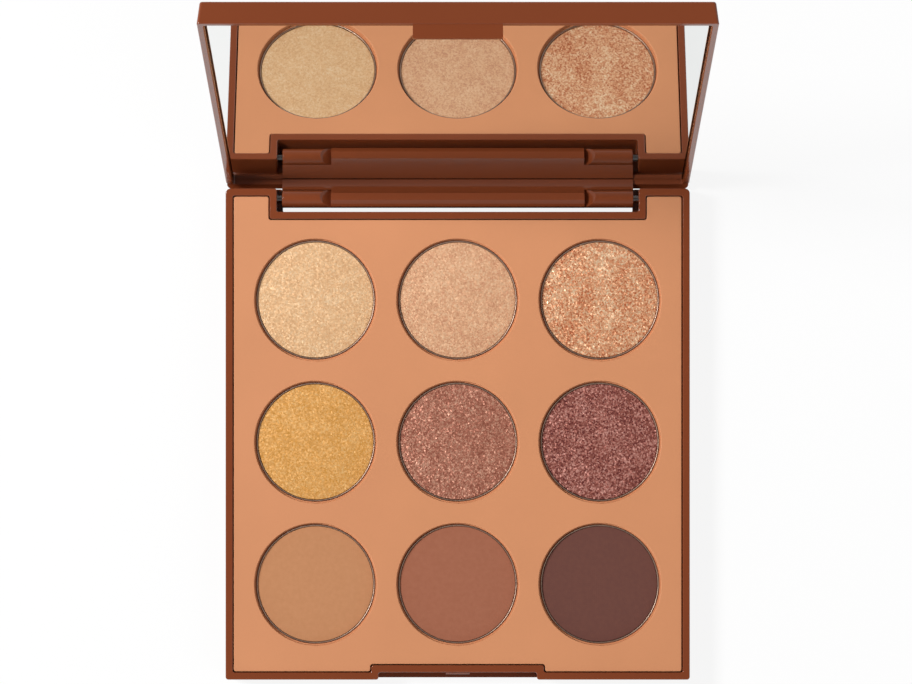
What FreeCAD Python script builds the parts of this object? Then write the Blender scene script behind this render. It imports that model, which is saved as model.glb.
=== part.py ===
import FreeCAD, Part
import math
import os

# Eyeshadow palette: a hinged case with nine pressed powders in metal pans and a mirror in its lid.
# Millimetres. The origin is the centre of the base's underside.
# +X is right, +Y is towards the hinge and +Z is up.
# The lid is drawn closed, and is then turned open about the hinge axis until it leans on its stop.

# Pans and powders
COLUMNS = ("left", "centre", "right")
ROWS = ("front", "middle", "back")
PAN_DIAMETER = 26.0
PAN_HEIGHT = 4.0
PAN_WALL = 0.35
PAN_BOTTOM_RADIUS = 0.3
PAN_GAP = 0.08  # between a pan and the wall of its cup
PAN_SINK = 0.9  # pan rim below the plate
POWDER_GAP = 0.05  # between a powder cake and its pan's wall
POWDER_SINK = 0.3  # edge of the powder below the pan rim
POWDER_CROWN = 0.15  # rise of the powder's middle above its edge
GLUE_RADIUS = 8.0
GLUE_THICKNESS = 0.15

# Plate
PLATE_THICKNESS = 1.2
PLATE_RECESS = 0.35  # plate below the base's rim
PLATE_GAP = 0.2  # between the plate and the base's walls
PLATE_LAND = 4.35  # plate between two wells
PLATE_EDGE_RADIUS = 0.2
SIDE_MARGIN = 4.52  # plate beside the outer wells
END_MARGIN = 4.12  # plate behind the rear wells and in front of the front ones
WELL_STEP = 0.27  # width of the ledge round each pan's rim
LEDGE_SINK = 0.18  # ledge below the pan rim
CUP_WALL = 0.9
CUP_FLOOR = 0.8
SKIRT_WALL = 1.0
PEG_RADIUS = 1.2
PEG_LENGTH = 2.5
PEG_GAP = 0.03  # between a peg and its socket
BOSS_WALL = 1.2
BOSS_GAP = 0.3  # between a boss's top and the plate

# Base
CASE_WALL = 1.55
BASE_FLOOR = 1.3
FRONT_CORNER_RADIUS = 0.6
REAR_CORNER_RADIUS = 1.1
BAY_CORNER_RADIUS = 0.5
INNER_CORNER_RADIUS = 0.5
UNDERSIDE_EDGE_RADIUS = 0.4
RIM_EDGE_RADIUS = 0.2

# Hinge
HINGE_INSET = 2.2  # axis in front of the rear face
HINGE_DROP = 2.85  # axis below the base's rim
HINGE_SHOULDER = 11.15  # block of the base at each end of the hinge bay
HINGE_BAY_GAP = 0.95  # between the knuckles and the bay's front wall
KNUCKLE_RADIUS = 1.95
KNUCKLE_LENGTH = 10.7
KNUCKLE_END_GAP = 1.1  # between a knuckle and the base's block
KNUCKLE_EDGE_RADIUS = 0.25
KNUCKLE_SEAT = 0.05  # how deep a knuckle runs into the wall above it
RAMP_LENGTH = 2.4  # sloped cut where a knuckle meets the beam
BEAM_WAIST = 1.75  # thickness of the beam beside the mirror
BEAM_HOLLOW = 0.45  # depth of the curve between the beam's barrel and its waist
BEAM_GAP = 0.15  # between the beam and the mirror
PIN_RADIUS = 0.75
PIN_GAP = 0.05  # running fit in the knuckle
PIN_ENGAGEMENT = 6.8  # length of the pin inside the knuckle
PIN_SPARE = 0.5  # bore past the pin's inner end
PIN_SINK = 0.4  # pin's outer end below the base's side
RELIEF_GAP = 0.12  # between the base's rear top edge and the lid that swings round it
STOP_GAP = 0.12  # between the open lid's rear edge and the base's rear face

# Lid
LID_GAP = 0.1  # between the two rims when closed
LID_HEIGHT = 4.8
LID_FACE = 1.3
LID_WALL = 1.35
LID_DRAFT = 0.5  # how much the lid's outside leans in over its height
LID_EDGE_RADIUS = 0.5
MIRROR_THICKNESS = 1.5
MIRROR_GAP = 0.25
TAPE_THICKNESS = 0.2
TAPE_MARGIN = 3.0

# Latch
LATCH_BAY_WIDTH = 34.6
LATCH_BAY_DEPTH = 1.6
TAB_WIDTH = 17.5
TAB_LENGTH = 2.9
TAB_SETBACK = 0.25
TAB_THICKNESS = 0.75
TAB_CORNER_RADIUS = 0.3
NUB_WIDTH = 5.2
NUB_DROP = 1.5  # nub below the base's rim
NUB_GAP = 0.1  # between the closed tab and the nub
BEAD_RADIUS = 0.2
BEAD_OVERHANG = 0.6  # bead past each end of the nub
BEAD_GAP = 0.15  # between the nub and the bead that snaps under it

# Worked out from the sizes above: pans and plate
PAN_RADIUS = PAN_DIAMETER / 2
CUP_RADIUS = PAN_RADIUS + PAN_GAP
WELL_RADIUS = CUP_RADIUS + WELL_STEP
POWDER_RADIUS = PAN_RADIUS - PAN_WALL - POWDER_GAP
PAN_PITCH = 2 * WELL_RADIUS + PLATE_LAND
PAN_AREA = 2 * PAN_PITCH + 2 * WELL_RADIUS
PLATE_INSET = CASE_WALL + PLATE_GAP
CUP_TOP = BASE_FLOOR + CUP_FLOOR
PAN_BOTTOM = CUP_TOP + GLUE_THICKNESS
PAN_RIM = PAN_BOTTOM + PAN_HEIGHT
LEDGE_Z = PAN_RIM - LEDGE_SINK
PLATE_TOP = PAN_RIM + PAN_SINK
PLATE_UNDERSIDE = PLATE_TOP - PLATE_THICKNESS
SOCKET_RADIUS = PEG_RADIUS + PEG_GAP

# Case
BASE_HEIGHT = PLATE_TOP + PLATE_RECESS
HINGE_BAY_DEPTH = HINGE_INSET + KNUCKLE_RADIUS + HINGE_BAY_GAP
CASE_WIDTH = PAN_AREA + 2 * SIDE_MARGIN + 2 * PLATE_INSET
CASE_DEPTH = PAN_AREA + 2 * END_MARGIN + 2 * PLATE_INSET + LATCH_BAY_DEPTH + HINGE_BAY_DEPTH
SIDE = CASE_WIDTH / 2
FRONT = -CASE_DEPTH / 2
REAR = CASE_DEPTH / 2
GRID_Y = (LATCH_BAY_DEPTH - HINGE_BAY_DEPTH) / 2
LID_RIM = BASE_HEIGHT + LID_GAP
LID_TOP = LID_RIM + LID_HEIGHT
LID_CEILING = LID_TOP - LID_FACE
MIRROR_BACK = LID_CEILING - TAPE_THICKNESS
MIRROR_FACE = MIRROR_BACK - MIRROR_THICKNESS

# Hinge: half lengths are measured along X from the middle of the case
AXIS_Y = REAR - HINGE_INSET
AXIS_Z = BASE_HEIGHT - HINGE_DROP
HINGE_BAY_HALF = SIDE - HINGE_SHOULDER
HINGE_HALF = HINGE_BAY_HALF - KNUCKLE_END_GAP
BEAM_HALF = HINGE_HALF - KNUCKLE_LENGTH
PIN_INNER_END = HINGE_HALF - PIN_ENGAGEMENT
BORE_END = PIN_INNER_END - PIN_SPARE
PIN_OUTER_END = SIDE - PIN_SINK
CREASE_Z = AXIS_Z + KNUCKLE_RADIUS - KNUCKLE_SEAT

# The lid's rear edge swings round the axis, from the parting line back to the base's rear face.
RELIEF_RADIUS = math.hypot(HINGE_INSET, HINGE_DROP) + RELIEF_GAP
EDGE_RISE = max(HINGE_DROP + LID_GAP, math.sqrt(RELIEF_RADIUS**2 - HINGE_INSET**2))
EDGE_SWING = math.hypot(HINGE_INSET, EDGE_RISE)
EDGE_START = math.degrees(math.atan2(EDGE_RISE, HINGE_INSET))
EDGE_END = math.degrees(math.acos((HINGE_INSET + STOP_GAP) / EDGE_SWING))
OPEN_ANGLE = EDGE_START + EDGE_END

# Latch
BAY_WALL = FRONT + LATCH_BAY_DEPTH
TAB_FRONT = FRONT + TAB_SETBACK
TAB_BACK = TAB_FRONT + TAB_THICKNESS
NUB_RADIUS = BAY_WALL - TAB_BACK - NUB_GAP
NUB_Z = BASE_HEIGHT - NUB_DROP
BEAD_SPACING = NUB_RADIUS + BEAD_RADIUS + BEAD_GAP
BEAD_Z = NUB_Z - math.sqrt(BEAD_SPACING**2 - (BAY_WALL - TAB_BACK) ** 2)

COS_45 = math.sqrt(0.5)
SAME_PLACE = 1e-4
CUT_REACH = CASE_WALL  # how far a cutting shape stands out of what it cuts


def vector(x, y, z):
    return FreeCAD.Vector(x, y, z)


def rod(radius, x0, x1, y, z):
    """A cylinder along X."""
    return Part.makeCylinder(radius, x1 - x0, vector(x0, y, z), vector(1, 0, 0))


def post(radius, x, y, z0, z1):
    """A cylinder along Z."""
    return Part.makeCylinder(radius, z1 - z0, vector(x, y, z0))


def block(x0, x1, y0, y1, z0, z1):
    return Part.makeBox(x1 - x0, y1 - y0, z1 - z0, vector(x0, y0, z0))


def fillet(shape, radius, chosen):
    """Rounds the edges that the test chooses."""
    return shape.makeFillet(radius, [edge for edge in shape.Edges if chosen(edge)])


def lies_at(z):
    """A test for edges that lie wholly at one height."""

    def is_level(edge):
        box = edge.BoundBox
        return abs(box.ZMin - z) < SAME_PLACE and abs(box.ZMax - z) < SAME_PLACE

    return is_level


def rounded_wire(corners, z):
    """A level outline of square corners, each given as x, y and its radius."""
    ends = []
    for i, (x, y, radius) in enumerate(corners):
        here = vector(x, y, z)
        before = vector(*corners[i - 1][:2], z)
        after = vector(*corners[(i + 1) % len(corners)][:2], z)
        back = (before - here).normalize()
        on = (after - here).normalize()
        middle = here + (back + on) * (radius * (1 - COS_45))
        ends.append((here + back * radius, middle, here + on * radius))
    edges = []
    for i, (start, middle, end) in enumerate(ends):
        edges.append(Part.Edge(Part.Arc(start, middle, end)))
        edges.append(Part.Edge(Part.LineSegment(end, ends[(i + 1) % len(ends)][0])))
    return Part.Wire(edges)


def prism(corners, z0, z1):
    """An upright prism on a rounded outline."""
    return Part.Face(rounded_wire(corners, z0)).extrude(vector(0, 0, z1 - z0))


def case_corners(inset, above_floor, shoulders, radii):
    """The case's plan moved inwards, with or without the blocks by the hinge.
    The floor reaches on under the latch bay and under the gaps at the knuckles' ends."""
    front_radius, rear_radius, bay_radius = radii
    side = SIDE - inset
    front = FRONT + inset
    rear = REAR - inset
    latch_x = LATCH_BAY_WIDTH / 2 + inset
    latch_y = front + LATCH_BAY_DEPTH
    bay_x = (HINGE_BAY_HALF if above_floor else HINGE_HALF) + inset
    bay_y = rear - HINGE_BAY_DEPTH
    latch = [(-latch_x, front), (-latch_x, latch_y), (latch_x, latch_y), (latch_x, front)]
    bay = [(bay_x, rear), (bay_x, bay_y), (-bay_x, bay_y), (-bay_x, rear)]
    rear_y = rear if shoulders else bay_y
    corners = [(-side, front, front_radius)]
    corners += [(x, y, bay_radius) for x, y in latch] if above_floor else []
    corners += [(side, front, front_radius), (side, rear_y, rear_radius)]
    corners += [(x, y, bay_radius) for x, y in bay] if shoulders else []
    corners.append((-side, rear_y, rear_radius))
    return corners


def outer_prism(above_floor, z0, z1):
    radii = (FRONT_CORNER_RADIUS, REAR_CORNER_RADIUS, BAY_CORNER_RADIUS)
    return prism(case_corners(0, above_floor, True, radii), z0, z1)


def inner_prism(inset, shoulders, z0, z1):
    radii = (INNER_CORNER_RADIUS, INNER_CORNER_RADIUS, INNER_CORNER_RADIUS)
    return prism(case_corners(inset, True, shoulders, radii), z0, z1)


def lid_corners(inset, front_radius, rear_radius):
    side = SIDE - inset
    front = FRONT + inset
    rear = REAR - inset
    return [
        (-side, front, front_radius),
        (side, front, front_radius),
        (side, rear, rear_radius),
        (-side, rear, rear_radius),
    ]


def lid_inner_prism(inset, z0, z1):
    return prism(lid_corners(inset, INNER_CORNER_RADIUS, INNER_CORNER_RADIUS), z0, z1)


def pan_places():
    """Name and centre of each pan."""
    for row, row_name in enumerate(ROWS):
        for column, column_name in enumerate(COLUMNS):
            yield f"{row_name}_{column_name}", (column - 1) * PAN_PITCH, GRID_Y + (row - 1) * PAN_PITCH


def peg_places():
    """Centres of the four pegs, each in the middle of four wells."""
    for x in (-PAN_PITCH / 2, PAN_PITCH / 2):
        for y in (-PAN_PITCH / 2, PAN_PITCH / 2):
            yield x, GRID_Y + y


def both_ends(make):
    """The same piece at the right end of the hinge and mirrored at the left end."""
    right = make()
    return [right, right.mirror(vector(0, 0, 0), vector(1, 0, 0))]


def base_shell():
    """Tray with a hinge bay, a latch bay with its nub, pin bores and sockets for the plate's pegs."""
    floor = outer_prism(False, 0, BASE_FLOOR)
    shell = floor.fuse(outer_prism(True, BASE_FLOOR, BASE_HEIGHT)).removeSplitter()
    shell = fillet(shell, min(UNDERSIDE_EDGE_RADIUS, 0.8 * BAY_CORNER_RADIUS), lies_at(0))
    well = inner_prism(CASE_WALL, False, BASE_FLOOR, BASE_HEIGHT + CUT_REACH)
    plate_seat = inner_prism(CASE_WALL, True, PLATE_UNDERSIDE, BASE_HEIGHT + CUT_REACH)
    shell = shell.cut(well.fuse(plate_seat))
    shell = fillet(shell, min(RIM_EDGE_RADIUS, 0.3 * CASE_WALL), lies_at(BASE_HEIGHT))
    boss_top = PLATE_UNDERSIDE - BOSS_GAP
    bosses = [post(SOCKET_RADIUS + BOSS_WALL, x, y, BASE_FLOOR / 2, boss_top) for x, y in peg_places()]
    nub = rod(NUB_RADIUS, -NUB_WIDTH / 2, NUB_WIDTH / 2, BAY_WALL, NUB_Z)
    sockets = [post(SOCKET_RADIUS, x, y, BASE_FLOOR, boss_top + CUT_REACH) for x, y in peg_places()]
    bores = both_ends(lambda: rod(PIN_RADIUS, HINGE_BAY_HALF - CUT_REACH, SIDE + CUT_REACH, AXIS_Y, AXIS_Z))
    return shell.fuse(bosses + [nub]).cut(sockets + bores).removeSplitter()


def pan_plate():
    """Plate with nine stepped cups that stand on the base's floor, a skirt and four pegs."""
    plate = inner_prism(PLATE_INSET, True, PLATE_UNDERSIDE, PLATE_TOP)
    skirt = inner_prism(PLATE_INSET, False, BASE_FLOOR, PLATE_UNDERSIDE)
    skirt = skirt.cut(inner_prism(PLATE_INSET + SKIRT_WALL, False, BASE_FLOOR, PLATE_UNDERSIDE))
    cups = [post(WELL_RADIUS + CUP_WALL, x, y, BASE_FLOOR, PLATE_UNDERSIDE) for _, x, y in pan_places()]
    pegs = [post(PEG_RADIUS, x, y, PLATE_UNDERSIDE - PEG_LENGTH, PLATE_UNDERSIDE) for x, y in peg_places()]
    wells = [post(WELL_RADIUS, x, y, LEDGE_Z, PLATE_TOP + CUT_REACH) for _, x, y in pan_places()]
    wells += [post(CUP_RADIUS, x, y, CUP_TOP, PLATE_TOP + CUT_REACH) for _, x, y in pan_places()]
    plate = plate.fuse([skirt] + cups + pegs).cut(wells).removeSplitter()
    return fillet(plate, min(PLATE_EDGE_RADIUS, 0.4 * PLATE_THICKNESS), lies_at(PLATE_TOP))


def turned(profile, x, y):
    """A solid turned about the upright line through x, y from edges in the XZ plane."""
    face = Part.Face(Part.Wire(profile))
    solid = face.revolve(vector(0, 0, 0), vector(0, 0, 1), 360)
    return solid.translated(vector(x, y, 0))


def lines(points):
    """Straight edges through points given as radius and height."""
    places = [vector(radius, 0, z) for radius, z in points]
    return [Part.Edge(Part.LineSegment(a, b)) for a, b in zip(places, places[1:])]


def arc(start, middle, end):
    """An arc through three points given as radius and height."""
    return Part.Edge(Part.Arc(*[vector(radius, 0, z) for radius, z in (start, middle, end)]))


def pan(x, y):
    """Drawn metal cup with a rounded bottom edge."""
    bend = min(PAN_BOTTOM_RADIUS, PAN_WALL)
    bend_start = (PAN_RADIUS - bend, PAN_BOTTOM)
    bend_end = (PAN_RADIUS, PAN_BOTTOM + bend)
    lean = bend * (1 - COS_45)
    bend_middle = (PAN_RADIUS - lean, PAN_BOTTOM + lean)
    inside = PAN_RADIUS - PAN_WALL
    floor = PAN_BOTTOM + PAN_WALL
    wall = [bend_end, (PAN_RADIUS, PAN_RIM), (inside, PAN_RIM), (inside, floor), (0, floor)]
    bottom = lines([(0, PAN_BOTTOM), bend_start]) + [arc(bend_start, bend_middle, bend_end)]
    return turned(bottom + lines(wall + [(0, PAN_BOTTOM)]), x, y)


def powder(x, y):
    """Pressed cake with a low crown, standing on its pan's floor."""
    floor = PAN_BOTTOM + PAN_WALL
    edge = PAN_RIM - POWDER_SINK
    crown_radius = (POWDER_RADIUS**2 + POWDER_CROWN**2) / (2 * POWDER_CROWN)
    half_way = POWDER_RADIUS / 2
    half_way_z = edge + POWDER_CROWN - crown_radius + math.sqrt(crown_radius**2 - half_way**2)
    top = (0, edge + POWDER_CROWN)
    side = lines([top, (0, floor), (POWDER_RADIUS, floor), (POWDER_RADIUS, edge)])
    return turned(side + [arc((POWDER_RADIUS, edge), (half_way, half_way_z), top)], x, y)


def pan_glue():
    """A dab of glue under each pan, as one group of separate solids."""
    return Part.Compound([post(GLUE_RADIUS, x, y, CUP_TOP, PAN_BOTTOM) for _, x, y in pan_places()])


def hinge_pin():
    """Pin of the right-hand end, pressed into the base and running in the lid's knuckle."""
    return rod(PIN_RADIUS, PIN_INNER_END, PIN_OUTER_END, AXIS_Y, AXIS_Z)


def hinge_beam():
    """Beam that carries the lid's rear wall down to the hinge axis, as a profile drawn along X."""
    radius = KNUCKLE_RADIUS
    facet = radius * math.tan(math.pi / 8)
    round_z = HINGE_INSET - radius
    round_lean = HINGE_INSET * COS_45
    top = MIRROR_FACE - BEAM_GAP - AXIS_Z
    rim = LID_RIM - AXIS_Z
    waist = HINGE_INSET - BEAM_WAIST
    in_wall = HINGE_INSET - LID_WALL / 2
    chord = vector(0, waist + radius, top - facet)
    across = vector(0, chord.z, -chord.y).normalize()
    hollow = vector(0, -radius, facet) + chord * 0.5 + across * BEAM_HOLLOW

    def place(y, z):
        return vector(-HINGE_HALF, AXIS_Y + y, AXIS_Z + z)

    rear = [place(in_wall, top), place(in_wall, rim), place(HINGE_INSET, rim), place(HINGE_INSET, round_z)]
    barrel = [place(0, -radius), place(-facet, -radius), place(-radius, -facet), place(-radius, facet)]
    waist_top = place(waist, top)
    edges = [Part.Edge(Part.LineSegment(a, b)) for a, b in zip(rear, rear[1:])]
    edges.append(Part.Edge(Part.Arc(rear[-1], place(round_lean, round_z - round_lean), barrel[0])))
    edges += [Part.Edge(Part.LineSegment(a, b)) for a, b in zip(barrel, barrel[1:])]
    edges.append(Part.Edge(Part.Arc(barrel[-1], place(hollow.y, hollow.z), waist_top)))
    edges.append(Part.Edge(Part.LineSegment(waist_top, rear[0])))
    return Part.Face(Part.Wire(edges)).extrude(vector(2 * HINGE_HALF, 0, 0))


def knuckle():
    """Round knuckle of the right-hand end, with a sloped cut where it meets the beam."""
    barrel = rod(KNUCKLE_RADIUS, BEAM_HALF, HINGE_HALF, AXIS_Y, AXIS_Z)
    edge_radius = min(KNUCKLE_EDGE_RADIUS, 0.5 * (KNUCKLE_RADIUS - PIN_RADIUS - PIN_GAP))
    barrel = fillet(barrel, edge_radius, lambda edge: edge.BoundBox.XMin > HINGE_HALF - SAME_PLACE)
    low = AXIS_Z - KNUCKLE_RADIUS - CUT_REACH
    slope = [
        vector(BEAM_HALF, AXIS_Y, low),
        vector(BEAM_HALF + RAMP_LENGTH, AXIS_Y - KNUCKLE_RADIUS, low),
        vector(BEAM_HALF, AXIS_Y - KNUCKLE_RADIUS, low),
    ]
    ramp = Part.Face(Part.makePolygon(slope + slope[:1])).extrude(vector(0, 0, CREASE_Z - low))
    return barrel.cut(ramp)


def knuckle_space():
    """What is cut from the beam at its right-hand end to make room for the knuckle."""
    y0 = AXIS_Y - KNUCKLE_RADIUS - CUT_REACH
    z0 = AXIS_Z - KNUCKLE_RADIUS - CUT_REACH
    return block(BEAM_HALF, HINGE_HALF + CUT_REACH, y0, REAR + CUT_REACH, z0, CREASE_Z)


def rim_relief():
    """What is cut from the lid's rim beside the hinge, so that it clears the base's rear top edge."""
    return rod(RELIEF_RADIUS, HINGE_HALF, SIDE + CUT_REACH, AXIS_Y, AXIS_Z)


def pin_bore():
    return rod(PIN_RADIUS + PIN_GAP, BORE_END, HINGE_HALF + CUT_REACH, AXIS_Y, AXIS_Z)


def latch_tab():
    """Tongue below the lid's front rim, with a bead that snaps under the base's nub."""
    half = TAB_WIDTH / 2
    end = LID_RIM - TAB_LENGTH
    tab = block(-half, half, TAB_FRONT, TAB_BACK, end, LID_RIM + LID_WALL / 2)
    at_end = lies_at(end)
    tab = fillet(tab, TAB_CORNER_RADIUS, lambda edge: at_end(edge) and edge.BoundBox.XLength < SAME_PLACE)
    bead_half = NUB_WIDTH / 2 + BEAD_OVERHANG
    return tab.fuse(rod(BEAD_RADIUS, -bead_half, bead_half, TAB_BACK, BEAD_Z))


def closed_lid_shell():
    """Lid as it lies on the base: a shell that leans in, with its tab, hinge beam and knuckles."""
    rim = rounded_wire(lid_corners(0, FRONT_CORNER_RADIUS, REAR_CORNER_RADIUS), LID_RIM)
    face = rounded_wire(lid_corners(LID_DRAFT, FRONT_CORNER_RADIUS, REAR_CORNER_RADIUS), LID_TOP)
    shell = Part.makeLoft([rim, face], True, True)
    shell = fillet(shell, min(LID_EDGE_RADIUS, 0.8 * FRONT_CORNER_RADIUS), lies_at(LID_TOP))
    shell = shell.cut(lid_inner_prism(LID_WALL, LID_RIM - CUT_REACH, LID_CEILING))
    shell = fillet(shell, min(RIM_EDGE_RADIUS, 0.3 * LID_WALL), lies_at(LID_RIM))
    shell = shell.cut(both_ends(rim_relief))
    beam = hinge_beam().cut(both_ends(knuckle_space))
    shell = shell.fuse([beam, latch_tab()] + both_ends(knuckle))
    return shell.cut(both_ends(pin_bore)).removeSplitter()


def opened(shape):
    """Turns a piece of the closed lid to where the open lid leans on its stop."""
    return shape.rotated(vector(0, AXIS_Y, AXIS_Z), vector(-1, 0, 0), OPEN_ANGLE)


def build():
    parts = {"base_shell": base_shell(), "pan_plate": pan_plate(), "pan_glue": pan_glue()}
    for name, x, y in pan_places():
        parts[f"pan_{name}"] = pan(x, y)
        parts[f"powder_{name}"] = powder(x, y)
    parts["hinge_pin_right"], parts["hinge_pin_left"] = both_ends(hinge_pin)
    mirror_inset = LID_WALL + MIRROR_GAP
    parts["lid_shell"] = opened(closed_lid_shell())
    parts["mirror"] = opened(lid_inner_prism(mirror_inset, MIRROR_FACE, MIRROR_BACK))
    parts["mirror_tape"] = opened(lid_inner_prism(mirror_inset + TAPE_MARGIN, MIRROR_BACK, LID_CEILING))
    return parts


os.makedirs("parts", exist_ok=True)
for node, shape in build().items():
    shape.exportStep(f"parts/{node}.step")
print(f"case {CASE_WIDTH:.2f} x {CASE_DEPTH:.2f}, base {BASE_HEIGHT:.2f} high, closed {LID_TOP:.2f} high")
print(f"hinge axis at y {AXIS_Y:.3f}, z {AXIS_Z:.3f}, lid opens {OPEN_ANGLE:.3f} degrees")
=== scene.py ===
import bmesh
import bpy
import math
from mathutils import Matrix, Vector


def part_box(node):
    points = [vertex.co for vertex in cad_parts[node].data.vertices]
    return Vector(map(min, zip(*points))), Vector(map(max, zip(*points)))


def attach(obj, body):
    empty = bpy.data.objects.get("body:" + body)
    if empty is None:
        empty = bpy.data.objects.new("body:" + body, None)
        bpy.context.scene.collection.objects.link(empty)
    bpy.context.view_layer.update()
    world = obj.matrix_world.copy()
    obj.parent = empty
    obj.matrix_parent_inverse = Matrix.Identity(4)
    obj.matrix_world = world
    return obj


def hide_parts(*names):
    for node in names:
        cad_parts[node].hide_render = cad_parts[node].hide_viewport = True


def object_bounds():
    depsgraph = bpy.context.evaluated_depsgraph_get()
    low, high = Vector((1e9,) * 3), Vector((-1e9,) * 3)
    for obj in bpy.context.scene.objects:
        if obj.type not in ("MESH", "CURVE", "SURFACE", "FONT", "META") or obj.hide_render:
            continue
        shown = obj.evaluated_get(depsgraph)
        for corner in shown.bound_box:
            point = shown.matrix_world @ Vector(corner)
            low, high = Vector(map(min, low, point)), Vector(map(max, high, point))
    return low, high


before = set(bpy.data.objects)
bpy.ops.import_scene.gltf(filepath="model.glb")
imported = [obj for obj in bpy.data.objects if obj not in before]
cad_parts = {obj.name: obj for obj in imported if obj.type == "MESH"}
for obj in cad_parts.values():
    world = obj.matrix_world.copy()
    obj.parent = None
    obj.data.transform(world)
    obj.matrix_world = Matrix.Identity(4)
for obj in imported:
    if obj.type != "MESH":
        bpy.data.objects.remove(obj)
cad_low, cad_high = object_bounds()

bl_info = {
    "name": "Eyeshadow palette looks",
    "version": (1, 0, 0),
    "blender": (4, 5, 0),
    "location": "3D View > Sidebar > Palette",
    "description": "Finishes, pans, pressed powders and studio for a hinged eyeshadow palette",
    "category": "Object",
}

MM = 0.001
ROWS = ("front", "middle", "back")
COLUMNS = ("left", "centre", "right")
PLACES = [f"{row}_{column}" for row in ROWS for column in COLUMNS]
FIRST_PLACE = PLACES[0]
FACE_GROUP = "pressed_face"
SAME_HEIGHT = 0.001 * MM
ABS_IOR = 1.54
# Most values of a noise texture lie between these two.
NOISE_LOW = 0.3
NOISE_HIGH = 0.7

# Places and sizes on the stage, in metres from the palette's origin.
KEY_PLACE = (-0.8, 0.3, 0.95)
KEY_SIZE = 0.3
FILL_PLACE = (0.85, -0.5, 0.8)
FILL_SIZE = 0.8
FLOOR_SIZE = 6
CLIP_START = 0.01

# The way to the ceiling's dimmest part, and the room's grey by how far a direction leans that way.
CEILING_AXIS = (0, 0.3, 0.954)
ROOM_GREYS = ((0.0, 0.92), (0.2, 0.5), (0.6, 0.26), (1.0, 0.06))

# Each powder: its shade's name, the press that made it, and its deep, body and light colours.
# In the pearl powders the deep and light colours are partly painted shade and painted glints of single
# flakes.
POWDERS = {
    "back_left": ("champagne", "shimmer", "#d6a576", "#e3b686", "#edcba2"),
    "back_centre": ("rose_champagne", "shimmer", "#ca8f6c", "#dda981", "#ebc29c"),
    "back_right": ("copper_gold", "foil", "#b86038", "#e4a276", "#ffe2bb"),
    "middle_left": ("yellow_gold", "shimmer", "#cd903d", "#db9f55", "#e8b876"),
    "middle_centre": ("rosy_brown", "glitter", "#92523f", "#b1705a", "#d8a48a"),
    "middle_right": ("plum_mauve", "glitter", "#622422", "#995649", "#dea295"),
    "front_left": ("camel", "matte", "#bf865d", "#c28960", "#c58c63"),
    "front_centre": ("red_brown", "matte", "#a0634a", "#a3664d", "#a66950"),
    "front_right": ("dark_brown", "matte", "#6a423a", "#6d443b", "#70463c"),
}

# What each press leaves in a cake's face: the width and height of its grain, the width and tilt of its
# flakes, how much of its colour drifts in soft clouds, and how metallic and how rough it is.
PRESSES = {
    "matte": {"grain": 0.5 * MM, "relief": 0.012 * MM},
    "shimmer": {
        "grain": 0.42 * MM,
        "relief": 0.05 * MM,
        "flake": 0.3 * MM,
        "tilt": 0.2,
        "clouds": 0.25,
        "metallic": 0.3,
        "roughness": 0.48,
    },
    "foil": {
        "grain": 0.34 * MM,
        "relief": 0.1 * MM,
        "flake": 0.32 * MM,
        "tilt": 0.34,
        "clouds": 0.28,
        "metallic": 0.4,
        "roughness": 0.4,
    },
    "glitter": {
        "grain": 0.34 * MM,
        "relief": 0.1 * MM,
        "flake": 0.3 * MM,
        "tilt": 0.34,
        "clouds": 0.15,
        "metallic": 0.4,
        "roughness": 0.42,
    },
}


def linear(text):
    """Linear red, green, blue and alpha of an sRGB hex colour."""
    channels = [int(text[i : i + 2], 16) / 255 for i in (1, 3, 5)]
    return [c / 12.92 if c <= 0.04045 else ((c + 0.055) / 1.055) ** 2.4 for c in channels] + [1.0]


def opaque(colour):
    """The three channels of a colour, with full alpha."""
    return list(colour) + [1.0]


def tinted(colour, factor):
    """A colour made lighter or darker by a factor, with its alpha."""
    return opaque(min(1.0, channel * factor) for channel in colour[:3])


def colour_property(name, description, text):
    return bpy.props.FloatVectorProperty(
        name=name,
        description=description,
        subtype="COLOR",
        size=3,
        min=0,
        max=1,
        default=linear(text)[:3],
    )


def length_property(name, description, millimetres):
    return bpy.props.FloatProperty(
        name=name, description=description, unit="LENGTH", precision=5, min=0, default=millimetres * MM
    )


def share_property(name, description, share):
    return bpy.props.FloatProperty(
        name=name, description=description, subtype="FACTOR", min=0, max=1, default=share
    )


class CaseFinish(bpy.types.PropertyGroup):
    """Finish of the two brown shells and of the tan plate between them."""

    shell_colour: colour_property("Shell colour", "Brown of the base and the lid", "#7e3e22")
    shell_roughness: share_property("Shell roughness", "Gloss of the shells' polished mould", 0.11)
    shell_peel: length_property("Orange peel", "Width of the slow waves in the glossy surface", 1.4)
    plate_colour: colour_property("Plate colour", "Tan of the plate", "#ce8b61")
    plate_roughness: share_property("Plate roughness", "Gloss of the plate's blasted mould", 0.55)
    plate_grit: length_property("Plate grit", "Width of the pits in the plate's surface", 0.22)


class PanSizes(bpy.types.PropertyGroup):
    """Sizes of the drawn pans that the parts' boxes don't give."""

    wall: length_property("Wall", "Thickness of the drawn metal", 0.35)
    rim_radius: length_property("Rim radius", "Rounding of the rim's two edges", 0.15)
    bend_radius: length_property("Bend radius", "Rounding between the wall and the bottom", 0.3)
    segments: bpy.props.IntProperty(
        name="Segments", description="Faces round a pan", min=32, default=192
    )


class PowderPress(bpy.types.PropertyGroup):
    """Shape of a pressed powder cake."""

    crown: length_property("Crown", "Rise of the middle above the edge", 0.15)
    edge_radius: length_property("Edge radius", "Rounding of the cake's edge", 0.12)
    span: bpy.props.IntProperty(
        name="Span",
        description="Faces across a cake, even and enough for its grain",
        min=16,
        default=168,
    )


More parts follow.
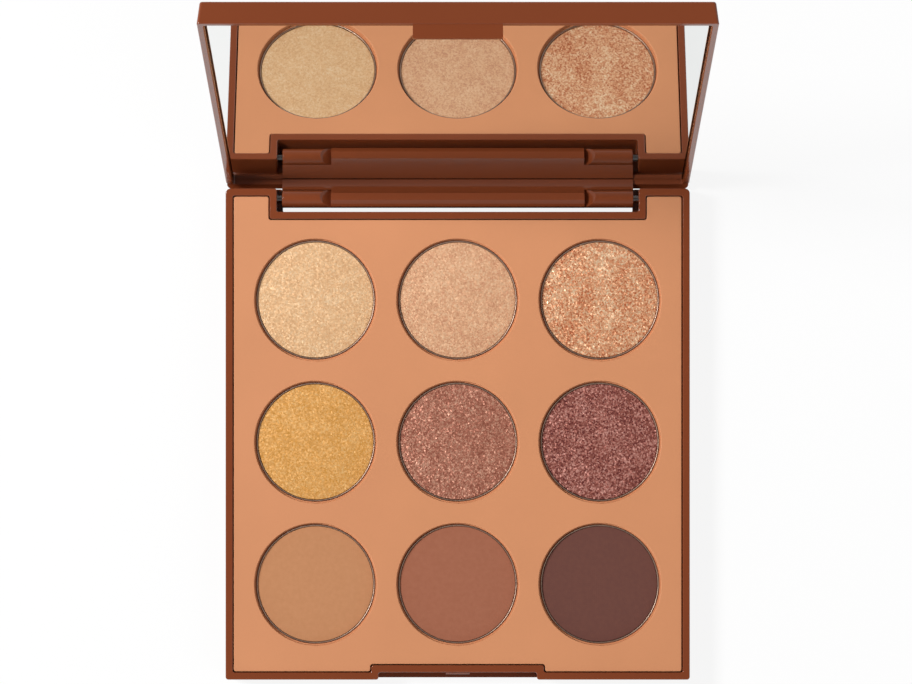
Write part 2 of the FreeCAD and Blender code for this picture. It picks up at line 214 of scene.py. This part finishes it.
class StageSettings(bpy.types.PropertyGroup):
    """Camera, light and floor."""

    camera_x: length_property("Camera offset", "How far the camera stands left of the middle", 0.37)
    camera_y: length_property("Camera advance", "How far the camera stands towards the hinge", 20.1)
    camera_z: length_property("Camera height", "Height of the camera above the floor", 873.5)
    sensor: bpy.props.FloatProperty(
        name="Sensor", description="Width of the camera's sensor", unit="CAMERA", default=36
    )
    lens: bpy.props.FloatProperty(
        name="Lens", description="Focal length of the lens", unit="CAMERA", default=156.6
    )
    key_power: bpy.props.FloatProperty(
        name="Key power",
        description="Power of the soft box at the upper left",
        unit="POWER",
        default=15.6,
    )
    fill_power: bpy.props.FloatProperty(
        name="Fill power",
        description="Power of the soft box at the lower right",
        unit="POWER",
        default=2.5,
    )
    floor_colour: colour_property("Floor colour", "Pale board under the palette", "#f4f4f4")
    floor_drop: length_property("Floor drop", "Gap between the floor and the base's underside", 0.05)
    floor_glow: share_property("Floor whiteness", "How much of the seen floor is plain white", 0.88)


def middle_of(node):
    low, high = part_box(node)
    return (low + high) / 2


def pick(piece):
    """Selects one piece alone and makes it active."""
    bpy.ops.object.select_all(action="DESELECT")
    piece.select_set(True)
    bpy.context.view_layer.objects.active = piece


def choose(piece, kind, test):
    """Selects, in edit mode, only the vertices, edges or faces that pass a test."""
    bpy.ops.mesh.select_mode(type=kind)
    bpy.ops.mesh.select_all(action="DESELECT")
    mesh = bmesh.from_edit_mesh(piece.data)
    items = {"VERT": mesh.verts, "EDGE": mesh.edges, "FACE": mesh.faces}[kind]
    for item in items:
        if test(item):
            item.select_set(True)
    mesh.select_flush_mode()
    bmesh.update_edit_mesh(piece.data)


def carry_ring(centre, profile):
    """Extrudes the selected ring from band to band through a profile of radius and height."""
    for (radius, z), (next_radius, next_z) in zip(profile, profile[1:]):
        bpy.ops.mesh.extrude_edges_move(TRANSFORM_OT_translate={"value": (0, 0, next_z - z)})
        factor = next_radius / radius
        pivot = (centre.x, centre.y, next_z)
        bpy.ops.transform.resize(value=(factor, factor, 1), center_override=pivot)


def apply_place(piece):
    """Puts a moved piece's place into its mesh, so that its object sits at the origin."""
    pick(piece)
    bpy.ops.object.transform_apply(location=True, rotation=True, scale=True)


def copy_to(piece, name, move):
    """A copy with its own mesh, moved by a distance."""
    pick(piece)
    bpy.ops.object.duplicate(linked=False)
    copy = bpy.context.view_layer.objects.active
    copy.name = name
    copy.location = move
    apply_place(copy)
    return copy


def stand_for(piece, node):
    """Shows a piece in place of a node of the base, on the base's body."""
    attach(piece, "base")
    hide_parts(node)


def paint(piece, material):
    piece.data.materials.clear()
    piece.data.materials.append(material)


def add_node(tree, kind, inputs=None, ramp=None, **settings):
    """Adds a node with its settings. An input is a value, or another node and its output to link."""
    node = tree.nodes.new(kind)
    for name, value in settings.items():
        setattr(node, name, value)
    for socket, value in (inputs or {}).items():
        if isinstance(value, tuple) and isinstance(value[0], bpy.types.Node):
            tree.links.new(value[0].outputs[value[1]], node.inputs[socket])
        else:
            node.inputs[socket].default_value = value
    if ramp:
        for place, colour in ramp[1:-1]:
            node.color_ramp.elements.new(place)
        for element, (place, colour) in zip(node.color_ramp.elements, ramp):
            element.position = place
            element.color = colour
    return node


def new_tree(name):
    """A new material and its empty node tree."""
    material = bpy.data.materials.new(name)
    material.use_nodes = True
    material.node_tree.nodes.clear()
    return material, material.node_tree


def glossy_brown_abs(finish):
    """ABS from a polished mould. Its deep brown is even, with faint clouds from the flow of the melt,
    and a slight orange peel bends the reflections a little."""
    material, tree = new_tree("moulded_abs_brown")
    brown = opaque(finish.shell_colour)
    flow_width = 30 * MM
    flow_tint = 0.02
    flow_gloss = 0.05
    peel_height = 0.0011 * MM
    coords = add_node(tree, "ShaderNodeTexCoord")
    flow = add_node(
        tree,
        "ShaderNodeTexNoise",
        {"Vector": (coords, "Object"), "Scale": 1 / flow_width, "Detail": 2.0},
    )
    colour = add_node(
        tree,
        "ShaderNodeValToRGB",
        {"Fac": (flow, "Fac")},
        ramp=[(NOISE_LOW, tinted(brown, 1 - flow_tint)), (NOISE_HIGH, tinted(brown, 1 + flow_tint))],
    )
    peel = add_node(
        tree,
        "ShaderNodeTexNoise",
        {"Vector": (coords, "Object"), "Scale": 1 / finish.shell_peel, "Detail": 1.0},
    )
    gloss = add_node(
        tree,
        "ShaderNodeMapRange",
        {
            "Value": (flow, "Fac"),
            "To Min": finish.shell_roughness * (1 - flow_gloss),
            "To Max": finish.shell_roughness * (1 + flow_gloss),
        },
    )
    relief = add_node(
        tree, "ShaderNodeBump", {"Height": (peel, "Fac"), "Distance": peel_height, "Strength": 1.0}
    )
    shader = add_node(
        tree,
        "ShaderNodeBsdfPrincipled",
        {
            "Base Color": (colour, "Color"),
            "Roughness": (gloss, "Result"),
            "Normal": (relief, "Normal"),
            "IOR": ABS_IOR,
        },
    )
    add_node(tree, "ShaderNodeOutputMaterial", {"Surface": (shader, "BSDF")})
    return material


def matte_tan_abs(finish):
    """ABS from a blasted mould. Fine pits scatter the light, so it is dull and soft, with a faint
    speckle."""
    material, tree = new_tree("blasted_abs_tan")
    tan = opaque(finish.plate_colour)
    flow_width = 18 * MM
    pit_depth = 0.003 * MM
    pit_share = 0.3
    speckle_tint = 0.035
    coords = add_node(tree, "ShaderNodeTexCoord")
    flow = add_node(
        tree,
        "ShaderNodeTexNoise",
        {"Vector": (coords, "Object"), "Scale": 1 / flow_width, "Detail": 3.0},
    )
    pits = add_node(
        tree,
        "ShaderNodeTexNoise",
        {"Vector": (coords, "Object"), "Scale": 1 / finish.plate_grit, "Detail": 2.0},
    )
    speckle = add_node(
        tree,
        "ShaderNodeMix",
        {0: pit_share, 2: (flow, "Fac"), 3: (pits, "Fac")},
        data_type="FLOAT",
    )
    colour = add_node(
        tree,
        "ShaderNodeValToRGB",
        {"Fac": (speckle, 0)},
        ramp=[(NOISE_LOW, tinted(tan, 1 - speckle_tint)), (NOISE_HIGH, tinted(tan, 1 + speckle_tint))],
    )
    relief = add_node(
        tree, "ShaderNodeBump", {"Height": (pits, "Fac"), "Distance": pit_depth, "Strength": 1.0}
    )
    shader = add_node(
        tree,
        "ShaderNodeBsdfPrincipled",
        {
            "Base Color": (colour, "Color"),
            "Roughness": finish.plate_roughness,
            "Normal": (relief, "Normal"),
            "Specular IOR Level": 0.3,
        },
    )
    add_node(tree, "ShaderNodeOutputMaterial", {"Surface": (shader, "BSDF")})
    return material


def drawn_metal(name, text, roughness, line_width, stretch):
    """Cold-drawn metal. Fine lines run the way it was drawn, and they blur what it reflects along them.
    The lines are drawn coarser than real ones, which are too fine to show."""
    material, tree = new_tree(name)
    metal = linear(text)
    line_depth = 0.0004 * MM
    line_shade = 0.9
    line_light = 1.05
    line_gloss = 0.25
    coords = add_node(tree, "ShaderNodeTexCoord")
    along = add_node(tree, "ShaderNodeMapping", {"Vector": (coords, "Object"), "Scale": stretch})
    lines = add_node(
        tree,
        "ShaderNodeTexNoise",
        {"Vector": (along, "Vector"), "Scale": 1 / line_width, "Detail": 3.0},
    )
    colour = add_node(
        tree,
        "ShaderNodeValToRGB",
        {"Fac": (lines, "Fac")},
        ramp=[(NOISE_LOW, tinted(metal, line_shade)), (NOISE_HIGH, tinted(metal, line_light))],
    )
    gloss = add_node(
        tree,
        "ShaderNodeMapRange",
        {
            "Value": (lines, "Fac"),
            "To Min": roughness * (1 - line_gloss),
            "To Max": roughness * (1 + line_gloss),
        },
    )
    relief = add_node(
        tree, "ShaderNodeBump", {"Height": (lines, "Fac"), "Distance": line_depth, "Strength": 1.0}
    )
    shader = add_node(
        tree,
        "ShaderNodeBsdfPrincipled",
        {
            "Base Color": (colour, "Color"),
            "Metallic": 1.0,
            "Roughness": (gloss, "Result"),
            "Normal": (relief, "Normal"),
        },
    )
    add_node(tree, "ShaderNodeOutputMaterial", {"Surface": (shader, "BSDF")})
    return material


def silvered_glass():
    """Float glass with silver behind it. It is almost perfectly sharp, with a trace of haze from
    wiping."""
    material, tree = new_tree("silvered_float_glass")
    silver = linear("#f2f4f3")
    wipe_width = 9 * MM
    wipe_tint = 0.985
    most_haze = 0.025
    coords = add_node(tree, "ShaderNodeTexCoord")
    wipes = add_node(
        tree,
        "ShaderNodeTexNoise",
        {"Vector": (coords, "Object"), "Scale": 1 / wipe_width, "Detail": 4.0},
    )
    haze = add_node(
        tree,
        "ShaderNodeMapRange",
        {"Value": (wipes, "Fac"), "From Min": 0.4, "To Min": 0.0, "To Max": most_haze},
    )
    colour = add_node(
        tree,
        "ShaderNodeValToRGB",
        {"Fac": (wipes, "Fac")},
        ramp=[(0.3, silver), (0.8, tinted(silver, wipe_tint))],
    )
    shader = add_node(
        tree,
        "ShaderNodeBsdfPrincipled",
        {"Base Color": (colour, "Color"), "Metallic": 1.0, "Roughness": (haze, "Result")},
    )
    add_node(tree, "ShaderNodeOutputMaterial", {"Surface": (shader, "BSDF")})
    return material


def adhesive(name, text, roughness, cell):
    """Set adhesive. Small bubbles make it cloudy and a little uneven."""
    material, tree = new_tree(name)
    body = linear(text)
    bubble_height = 0.01 * MM
    bubble_shade = 0.92
    coords = add_node(tree, "ShaderNodeTexCoord")
    bubbles = add_node(
        tree,
        "ShaderNodeTexVoronoi",
        {"Vector": (coords, "Object"), "Scale": 1 / cell},
        feature="SMOOTH_F1",
    )
    colour = add_node(
        tree,
        "ShaderNodeValToRGB",
        {"Fac": (bubbles, "Distance")},
        ramp=[(0.0, tinted(body, bubble_shade)), (0.8, body)],
    )
    relief = add_node(
        tree,
        "ShaderNodeBump",
        {"Height": (bubbles, "Distance"), "Distance": bubble_height, "Strength": 1.0},
    )
    shader = add_node(
        tree,
        "ShaderNodeBsdfPrincipled",
        {"Base Color": (colour, "Color"), "Roughness": roughness, "Normal": (relief, "Normal")},
    )
    add_node(tree, "ShaderNodeOutputMaterial", {"Surface": (shader, "BSDF")})
    return material


def matte_powder(shade, deep, body, light):
    """Pressed matte pigment. It is dull from every side, with the fine weave of the press cloth in its
    face."""
    material, tree = new_tree(f"pressed_matte_powder_{shade}")
    thread_pitch = 0.42 * MM
    thread_height = 0.004 * MM
    cloud_width = 0.9 * MM
    coords = add_node(tree, "ShaderNodeTexCoord")
    clouds = add_node(
        tree,
        "ShaderNodeTexNoise",
        {"Vector": (coords, "Object"), "Scale": 1 / cloud_width, "Detail": 5.0},
    )
    colour = add_node(
        tree,
        "ShaderNodeValToRGB",
        {"Fac": (clouds, "Fac")},
        ramp=[(0.25, deep), (0.5, body), (0.75, light)],
    )
    # A wave's bands repeat every 2 pi / 20 of a unit at a scale of one.
    wave_scale = math.tau / 20 / thread_pitch
    threads = {"Vector": (coords, "Object"), "Scale": wave_scale}
    warp = add_node(tree, "ShaderNodeTexWave", threads, bands_direction="X")
    weft = add_node(tree, "ShaderNodeTexWave", threads, bands_direction="Y")
    weave = add_node(tree, "ShaderNodeMath", {0: (warp, "Fac"), 1: (weft, "Fac")}, operation="ADD")
    relief = add_node(
        tree, "ShaderNodeBump", {"Height": (weave, 0), "Distance": thread_height, "Strength": 1.0}
    )
    shader = add_node(
        tree,
        "ShaderNodeBsdfPrincipled",
        {
            "Base Color": (colour, "Color"),
            "Roughness": 0.9,
            "Diffuse Roughness": 0.3,
            "Specular IOR Level": 0.25,
            "Normal": (relief, "Normal"),
        },
    )
    add_node(tree, "ShaderNodeOutputMaterial", {"Surface": (shader, "BSDF")})
    return material


def pearl_powder(shade, kind, deep, body, light):
    """Pressed pigment with coated mica. Each flake lies at its own tilt, so neighbours flash or go dark;
    each flake's colour is also lightened or darkened at random, a painted glint or painted shade.
    The flakes are drawn coarser than real ones, which are too fine to show."""
    press = PRESSES[kind]
    material, tree = new_tree(f"pressed_{kind}_powder_{shade}")
    cloud_width = 4 * MM
    dark_flake_painted_shade = 0.15
    bright_flake_painted_glint = 0.85
    painted_flake_share = 0.6
    coords = add_node(tree, "ShaderNodeTexCoord")
    flakes = add_node(
        tree, "ShaderNodeTexVoronoi", {"Vector": (coords, "Object"), "Scale": 1 / press["flake"]}
    )
    grain = add_node(
        tree,
        "ShaderNodeTexNoise",
        {"Vector": (coords, "Object"), "Scale": 1 / press["grain"], "Detail": 1.0},
    )
    clouds = add_node(
        tree,
        "ShaderNodeTexNoise",
        {"Vector": (coords, "Object"), "Scale": 1 / cloud_width, "Detail": 3.0},
    )
    # Painted glints and painted shade: each flake's random value lightens or darkens its colour,
    # standing in for its flash or its darkness.
    painted_flake_glints = add_node(
        tree,
        "ShaderNodeMapRange",
        {"Value": (flakes, "Color"), "To Min": dark_flake_painted_shade, "To Max": bright_flake_painted_glint},
    )
    speckle = add_node(
        tree,
        "ShaderNodeMix",
        {0: painted_flake_share, 2: (grain, "Fac"), 3: (painted_flake_glints, "Result")},
        data_type="FLOAT",
    )
    tone = add_node(
        tree,
        "ShaderNodeMix",
        {0: press["clouds"], 2: (speckle, 0), 3: (clouds, "Fac")},
        data_type="FLOAT",
    )
    colour = add_node(
        tree,
        "ShaderNodeValToRGB",
        {"Fac": (tone, 0)},
        ramp=[(0.35, deep), (0.5, body), (0.7, light)],
    )
    lean = add_node(
        tree,
        "ShaderNodeVectorMath",
        {0: (flakes, "Color"), 1: (0.5, 0.5, 0.5)},
        operation="SUBTRACT",
    )
    lean = add_node(
        tree, "ShaderNodeVectorMath", {0: (lean, "Vector"), "Scale": press["tilt"]}, operation="SCALE"
    )
    surface = add_node(tree, "ShaderNodeNewGeometry")
    facing = add_node(
        tree, "ShaderNodeVectorMath", {0: (surface, "Normal"), 1: (lean, "Vector")}, operation="ADD"
    )
    facing = add_node(tree, "ShaderNodeVectorMath", {0: (facing, "Vector")}, operation="NORMALIZE")
    shader = add_node(
        tree,
        "ShaderNodeBsdfPrincipled",
        {
            "Base Color": (colour, "Color"),
            "Metallic": press["metallic"],
            "Roughness": press["roughness"],
            "Normal": (facing, "Vector"),
        },
    )
    add_node(tree, "ShaderNodeOutputMaterial", {"Surface": (shader, "BSDF")})
    return material


class PALETTE_OT_finish_case(bpy.types.Operator):
    """Gives the base, the lid and the plate their moulded plastics"""

    bl_idname = "palette.finish_case"
    bl_label = "Finish case"

    def execute(self, context):
        finish = context.scene.palette_case
        brown = glossy_brown_abs(finish)
        for node in ("base_shell", "lid_shell"):
            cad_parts[node].material_slots[0].material = brown
        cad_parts["pan_plate"].material_slots[0].material = matte_tan_abs(finish)
        return {"FINISHED"}


class PALETTE_OT_finish_inner_pieces(bpy.types.Operator):
    """Gives the mirror, the hinge pins, the tape and the glue their finishes"""

    bl_idname = "palette.finish_inner_pieces"
    bl_label = "Finish mirror, pins and adhesives"

    def execute(self, context):
        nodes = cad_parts
        nodes["mirror"].material_slots[0].material = silvered_glass()
        foam = adhesive("foam_tape", "#f2f0ea", roughness=0.7, cell=0.3 * MM)
        nodes["mirror_tape"].material_slots[0].material = foam
        glue = adhesive("set_glue", "#e6e1d4", roughness=0.3, cell=0.9 * MM)
        nodes["pan_glue"].material_slots[0].material = glue
        steel = drawn_metal(
            "drawn_steel", "#9a9998", roughness=0.28, line_width=0.05 * MM, stretch=(0.02, 1, 1)
        )
        for side in ("left", "right"):
            nodes[f"hinge_pin_{side}"].material_slots[0].material = steel
        return {"FINISHED"}


class PALETTE_OT_draw_pans(bpy.types.Operator):
    """Models one drawn metal pan and copies it to every place"""

    bl_idname = "palette.draw_pans"
    bl_label = "Draw pans"

    def execute(self, context):
        sizes = context.scene.palette_pans
        first = self.first_pan(sizes)
        # The pans' metal is darker and warmer than bare aluminium: painted shade and a painted
        # reflection of the shaded tan wells.
        aluminium = drawn_metal(
            "drawn_aluminium", "#a58d7d", roughness=0.45, line_width=0.06 * MM, stretch=(0.1, 0.1, 1)
        )
        paint(first, aluminium)
        start = middle_of(f"pan_{FIRST_PLACE}")
        for place in PLACES:
            node = f"pan_{place}"
            name = f"drawn_pan_{place}"
            piece = first if place == FIRST_PLACE else copy_to(first, name, middle_of(node) - start)
            stand_for(piece, node)
        return {"FINISHED"}

    def first_pan(self, sizes):
        node = f"pan_{FIRST_PLACE}"
        low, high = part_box(node)
        centre = middle_of(node)
        radius = (high.x - low.x) / 2
        inside = radius - sizes.wall
        floor = low.z + sizes.wall
        bpy.ops.object.select_all(action="DESELECT")
        bpy.ops.mesh.primitive_circle_add(
            vertices=sizes.segments,
            radius=radius,
            fill_type="NGON",
            location=(centre.x, centre.y, low.z),
        )
        pan = bpy.context.view_layer.objects.active
        pan.name = f"drawn_pan_{FIRST_PLACE}"
        apply_place(pan)
        bpy.ops.object.mode_set(mode="EDIT")
        choose(pan, "EDGE", lambda edge: True)
        carry_ring(centre, [(radius, low.z), (radius, high.z), (inside, high.z), (inside, floor)])
        bpy.ops.mesh.edge_face_add()
        choose(pan, "EDGE", lambda edge: self.is_level(edge, high.z))
        bpy.ops.mesh.bevel(offset=sizes.rim_radius, segments=3, profile=0.5)
        choose(pan, "EDGE", lambda edge: self.is_level(edge, low.z) or self.is_level(edge, floor))
        bpy.ops.mesh.bevel(offset=sizes.bend_radius, segments=4, profile=0.5)
        bpy.ops.mesh.select_all(action="SELECT")
        bpy.ops.mesh.normals_make_consistent(inside=False)
        bpy.ops.object.mode_set(mode="OBJECT")
        bpy.ops.object.shade_smooth_by_angle(angle=math.radians(50))
        return pan

    def is_level(self, edge, z):
        return all(abs(corner.co.z - z) < SAME_HEIGHT for corner in edge.verts)


class PALETTE_OT_press_powders(bpy.types.Operator):
    """Models one powder cake, copies it to every pan and presses its own grain into each copy"""

    bl_idname = "palette.press_powders"
    bl_label = "Press powders"

    def execute(self, context):
        press = context.scene.palette_powders
        first = self.first_cake(press)
        start = middle_of(f"powder_{FIRST_PLACE}")
        cakes = {FIRST_PLACE: first}
        for place in PLACES[1:]:
            move = middle_of(f"powder_{place}") - start
            cakes[place] = copy_to(first, f"pressed_powder_{place}", move)
        for place, cake in cakes.items():
            shade, kind, *texts = POWDERS[place]
            colours = [linear(text) for text in texts]
            self.press_grain(cake, kind)
            matte = kind == "matte"
            paint(cake, matte_powder(shade, *colours) if matte else pearl_powder(shade, kind, *colours))
            stand_for(cake, f"powder_{place}")
        return {"FINISHED"}

    def first_cake(self, press):
        node = f"powder_{FIRST_PLACE}"
        low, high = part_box(node)
        centre = middle_of(node)
        radius = (high.x - low.x) / 2
        edge_z = high.z - press.crown
        face_radius = radius - press.edge_radius
        bpy.ops.object.select_all(action="DESELECT")
        bpy.ops.mesh.primitive_circle_add(
            vertices=4 * press.span,
            radius=face_radius,
            fill_type="NOTHING",
            location=(centre.x, centre.y, edge_z),
        )
        cake = bpy.context.view_layer.objects.active
        cake.name = f"pressed_powder_{FIRST_PLACE}"
        apply_place(cake)
        bpy.ops.object.mode_set(mode="EDIT")
        bpy.ops.mesh.select_all(action="SELECT")
        bpy.ops.mesh.fill_grid(span=press.span)
        bpy.ops.mesh.select_all(action="SELECT")
        bpy.ops.object.vertex_group_add()
        cake.vertex_groups.active.name = FACE_GROUP
        bpy.ops.object.vertex_group_assign()
        near = radius / press.span / 2
        choose(cake, "VERT", lambda corner: (corner.co.xy - centre.xy).length < near)
        bpy.ops.transform.translate(
            value=(0, 0, press.crown),
            use_proportional_edit=True,
            proportional_edit_falloff="INVERSE_SQUARE",
            proportional_size=face_radius,
        )
        choose(cake, "EDGE", lambda edge: edge.is_boundary)
        rounding = []
        for angle in (0, 30, 60, 90):
            out = press.edge_radius * math.sin(math.radians(angle))
            down = press.edge_radius * (1 - math.cos(math.radians(angle)))
            rounding.append((face_radius + out, edge_z - down))
        carry_ring(centre, rounding + [(radius, low.z)])
        bpy.ops.mesh.edge_face_add()
        bpy.ops.mesh.select_all(action="SELECT")
        bpy.ops.mesh.normals_make_consistent(inside=False)
        bpy.ops.object.mode_set(mode="OBJECT")
        bpy.ops.object.shade_smooth_by_angle(angle=math.radians(60))
        return cake

    def press_grain(self, cake, kind):
        press = PRESSES[kind]
        texture = bpy.data.textures.new(f"grain_{kind}", "CLOUDS")
        texture.noise_scale = press["grain"]
        texture.noise_depth = 2
        pick(cake)
        bpy.ops.object.modifier_add(type="DISPLACE")
        modifier = cake.modifiers[-1]
        modifier.texture = texture
        modifier.texture_coords = "LOCAL"
        modifier.direction = "Z"
        modifier.vertex_group = FACE_GROUP
        modifier.mid_level = 1.0
        modifier.strength = press["relief"]
        bpy.ops.object.modifier_apply(modifier=modifier.name)


class PALETTE_OT_set_stage(bpy.types.Operator):
    """Sets the pale floor, the soft light and the camera"""

    bl_idname = "palette.set_stage"
    bl_label = "Set stage"

    def execute(self, context):
        settings = context.scene.palette_stage
        context.scene.view_settings.view_transform = "Standard"
        self.lay_floor(settings)
        self.light_world(context.scene)
        self.hang_soft_box("key", settings.key_power, KEY_PLACE, KEY_SIZE)
        self.hang_soft_box("fill", settings.fill_power, FILL_PLACE, FILL_SIZE)
        bpy.ops.object.camera_add(
            location=(-settings.camera_x, settings.camera_y, settings.camera_z), rotation=(0, 0, 0)
        )
        camera = bpy.context.view_layer.objects.active
        camera.name = "camera"
        camera.data.sensor_width = settings.sensor
        camera.data.lens = settings.lens
        camera.data.clip_start = CLIP_START
        context.scene.camera = camera
        return {"FINISHED"}

    def lay_floor(self, settings):
        bpy.ops.object.select_all(action="DESELECT")
        bpy.ops.mesh.primitive_plane_add(size=FLOOR_SIZE, location=(0, 0, -settings.floor_drop))
        floor = bpy.context.view_layer.objects.active
        floor.name = "floor"
        paint(floor, self.pale_board(settings))

    def pale_board(self, settings):
        """Coated board. It reads as plain white where it is seen, itself or in one reflection, and still
        takes a soft shadow. In deeper reflections, as inside the hinge bay, it is only as bright as its
        light."""
        material, tree = new_tree("coated_board_white")
        path = add_node(tree, "ShaderNodeLightPath")
        seen = add_node(
            tree,
            "ShaderNodeMath",
            {0: (path, "Is Camera Ray"), 1: (path, "Is Glossy Ray")},
            operation="MAXIMUM",
        )
        seen = add_node(
            tree, "ShaderNodeMath", {0: (seen, 0), 1: (path, "Is Transmission Ray")}, operation="MAXIMUM"
        )
        first = add_node(
            tree, "ShaderNodeMath", {0: (path, "Ray Depth"), 1: 1.5}, operation="LESS_THAN"
        )
        seen = add_node(tree, "ShaderNodeMath", {0: (seen, 0), 1: (first, 0)}, operation="MULTIPLY")
        glow = add_node(
            tree, "ShaderNodeMath", {0: (seen, 0), 1: settings.floor_glow}, operation="MULTIPLY"
        )
        board = add_node(tree, "ShaderNodeBsdfDiffuse", {"Color": opaque(settings.floor_colour)})
        white = add_node(tree, "ShaderNodeEmission", {"Color": (1, 1, 1, 1), "Strength": 1.0})
        mixed = add_node(
            tree, "ShaderNodeMixShader", {0: (glow, 0), 1: (board, "BSDF"), 2: (white, "Emission")}
        )
        add_node(tree, "ShaderNodeOutputMaterial", {"Surface": (mixed, "Shader")})
        return material

    def light_world(self, scene):
        """Pale walls all round and a ceiling that is dimmest a little behind the palette, so that level
        gloss keeps its colour. To the camera it is white."""
        world = bpy.data.worlds.new("studio")
        world.use_nodes = True
        scene.world = world
        tree = world.node_tree
        tree.nodes.clear()
        coords = add_node(tree, "ShaderNodeTexCoord")
        height = add_node(
            tree,
            "ShaderNodeVectorMath",
            {0: (coords, "Generated"), 1: CEILING_AXIS},
            operation="DOT_PRODUCT",
        )
        walls = add_node(
            tree,
            "ShaderNodeValToRGB",
            {"Fac": (height, "Value")},
            ramp=[(place, (grey, grey, grey, 1)) for place, grey in ROOM_GREYS],
        )
        path = add_node(tree, "ShaderNodeLightPath")
        shown = add_node(
            tree,
            "ShaderNodeMix",
            {0: (path, "Is Camera Ray"), 6: (walls, "Color"), 7: (1, 1, 1, 1)},
            data_type="RGBA",
        )
        sky = add_node(tree, "ShaderNodeBackground", {"Color": (shown, 2), "Strength": 1.0})
        add_node(tree, "ShaderNodeOutputWorld", {"Surface": (sky, "Background")})

    def hang_soft_box(self, name, power, place, size):
        target = (cad_low + cad_high) / 2
        aim = (target - Vector(place)).to_track_quat("-Z", "Y").to_euler()
        bpy.ops.object.light_add(type="AREA", location=place, rotation=aim)
        lamp = bpy.context.view_layer.objects.active
        lamp.name = f"{name}_soft_box"
        lamp.data.energy = power
        lamp.data.size = size


class PALETTE_PT_sidebar(bpy.types.Panel):
    """Lists the steps that dress the palette"""

    bl_idname = "PALETTE_PT_sidebar"
    bl_label = "Palette"
    bl_space_type = "VIEW_3D"
    bl_region_type = "UI"
    bl_category = "Palette"

    def draw(self, context):
        for operator in OPERATORS:
            self.layout.operator(operator.bl_idname)
        for name in SETTINGS:
            settings = getattr(context.scene, name)
            box = self.layout.box()
            for item in settings.bl_rna.properties:
                if not item.is_readonly and item.identifier != "name":
                    box.prop(settings, item.identifier)


SETTINGS = {
    "palette_case": CaseFinish,
    "palette_pans": PanSizes,
    "palette_powders": PowderPress,
    "palette_stage": StageSettings,
}
OPERATORS = (
    PALETTE_OT_finish_case,
    PALETTE_OT_finish_inner_pieces,
    PALETTE_OT_draw_pans,
    PALETTE_OT_press_powders,
    PALETTE_OT_set_stage,
)


def register():
    for group in (*SETTINGS.values(), *OPERATORS, PALETTE_PT_sidebar):
        bpy.utils.register_class(group)
    for name, group in SETTINGS.items():
        setattr(bpy.types.Scene, name, bpy.props.PointerProperty(type=group))


def unregister():
    for name in SETTINGS:
        delattr(bpy.types.Scene, name)
    for group in (PALETTE_PT_sidebar, *OPERATORS, *SETTINGS.values()):
        bpy.utils.unregister_class(group)


def main():
    register()
    bpy.ops.palette.finish_case()
    bpy.ops.palette.finish_inner_pieces()
    bpy.ops.palette.draw_pans()
    bpy.ops.palette.press_powders()
    bpy.ops.palette.set_stage()


if __name__ == "__main__":
    main()
